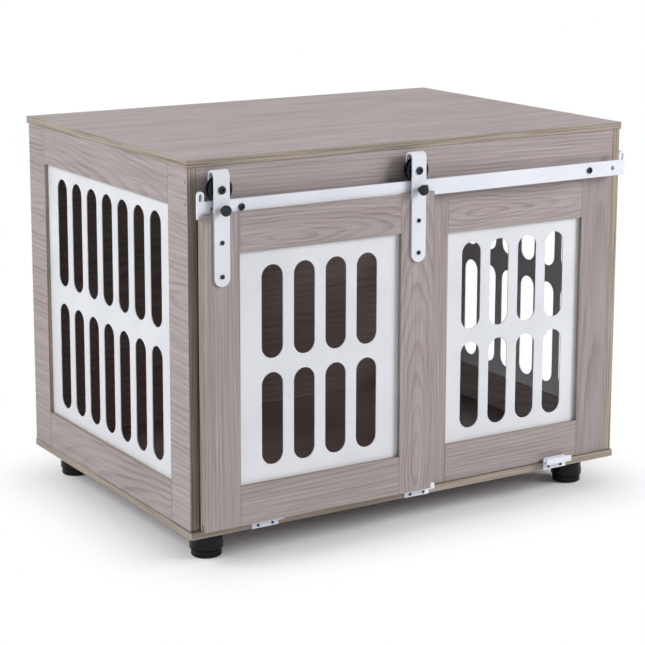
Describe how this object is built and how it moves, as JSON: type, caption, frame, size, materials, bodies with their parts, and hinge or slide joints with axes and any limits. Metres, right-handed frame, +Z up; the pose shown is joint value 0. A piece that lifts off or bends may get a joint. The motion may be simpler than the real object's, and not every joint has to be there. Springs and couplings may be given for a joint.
{
  "type": "pet crate",
  "caption": "Furniture-style pet crate: wood-grain box with slotted white panels, a flat top, round feet and a barn door that rolls along an outside track.",
  "frame": {"origin": "on the floor, under the middle of the whole crate's box, lock knobs included", "axes": "+X to the right along the track, -Y out of the front, +Z up"},
  "size_m": [0.85, 0.6442, 0.65],
  "materials": {
    "laminate": "matt printed wood-grain laminate with khaki edge banding",
    "white_panel": "satin white powder coat on slotted sheet",
    "white_steel": "satin white powder coat on flat steel",
    "black_bolt": "black oxide",
    "bare_steel": "zinc plated",
    "black_plastic": "fine satin moulding",
    "dowel_wood": "raw fluted beech"
  },
  "bodies": {
    "cabinet": {"top_board": "laminate", "base_board": "laminate", "back_panel": "laminate", "header_rail": "laminate", "left_front_stile": "laminate", "left_rear_stile": "laminate", "left_top_rail": "laminate", "left_bottom_rail": "laminate", "left_slotted_panel": "white_panel", "left_dowels": "dowel_wood", "right_front_stile": "laminate", "right_rear_stile": "laminate", "right_top_rail": "laminate", "right_bottom_rail": "laminate", "right_slotted_panel": "white_panel", "right_dowels": "dowel_wood", "fixed_left_stile": "laminate", "fixed_right_stile": "laminate", "fixed_top_rail": "laminate", "fixed_bottom_rail": "laminate", "fixed_slotted_panel": "white_panel", "fixed_dowels": "dowel_wood", "track_bar": "white_steel", "track_spacers": "bare_steel", "track_bolts": "black_bolt", "left_bottom_guide": "white_steel", "middle_bottom_guide": "white_steel", "right_bottom_guide": "white_steel", "guide_screws": "black_bolt", "front_left_foot": "black_plastic", "front_right_foot": "black_plastic", "rear_left_foot": "black_plastic", "rear_right_foot": "black_plastic", "foot_screws": "bare_steel", "header_screws": "bare_steel", "base_screws": "bare_steel", "top_dowels": "dowel_wood", "header_dowels": "dowel_wood"},
    "door": {"door_left_stile": "laminate", "door_right_stile": "laminate", "door_top_rail": "laminate", "door_bottom_rail": "laminate", "door_slotted_panel": "white_panel", "door_dowels": "dowel_wood", "left_hanger_strap": "white_steel", "right_hanger_strap": "white_steel", "axle_bolts": "black_bolt", "axle_sleeves": "bare_steel", "axle_nuts": "bare_steel", "strap_screws": "black_bolt"},
    "left_wheel": {"left_wheel": "black_plastic"},
    "left_lock_stud": {"left_lock_stud": "bare_steel"},
    "left_lock_knob": {"left_lock_knob": "black_bolt"},
    "right_wheel": {"right_wheel": "black_plastic"},
    "right_lock_stud": {"right_lock_stud": "bare_steel"},
    "right_lock_knob": {"right_lock_knob": "black_bolt"}
  },
  "joints": [
    {"name": "door_slide", "type": "slide", "parent": "cabinet", "child": "door", "axis": [1, 0, 0], "range_m": [-0.0092, 0.4055]},
    {"name": "left_wheel_roll", "type": "hinge", "parent": "door", "child": "left_wheel", "pos_m": [-0.3792, -0.29535, 0.6045], "axis": [0, 1, 0], "range_deg": [-32, 1392]},
    {"name": "left_lock_feed", "type": "slide", "parent": "door", "child": "left_lock_stud", "axis": [0, 1, 0], "range_m": [0, 0.00402]},
    {"name": "left_lock_turn", "type": "hinge", "parent": "left_lock_stud", "child": "left_lock_knob", "pos_m": [-0.3792, -0.31585, 0.5745], "axis": [0, 1, 0], "range_deg": [0, 1440]},
    {"name": "right_wheel_roll", "type": "hinge", "parent": "door", "child": "right_wheel", "pos_m": [-0.0172, -0.29535, 0.6045], "axis": [0, 1, 0], "range_deg": [-32, 1392]},
    {"name": "right_lock_feed", "type": "slide", "parent": "door", "child": "right_lock_stud", "axis": [0, 1, 0], "range_m": [0, 0.00402]},
    {"name": "right_lock_turn", "type": "hinge", "parent": "right_lock_stud", "child": "right_lock_knob", "pos_m": [-0.0172, -0.31585, 0.5745], "axis": [0, 1, 0], "range_deg": [0, 1440]}
  ],
  "couplings": [
    {"joint": "left_wheel_roll", "follows": "door_slide", "rad_per_m": 59.88},
    {"joint": "left_lock_feed", "follows": "left_lock_turn", "m_per_rad": 0.00015915},
    {"joint": "right_wheel_roll", "follows": "door_slide", "rad_per_m": 59.88},
    {"joint": "right_lock_feed", "follows": "right_lock_turn", "m_per_rad": 0.00015915}
  ]
}
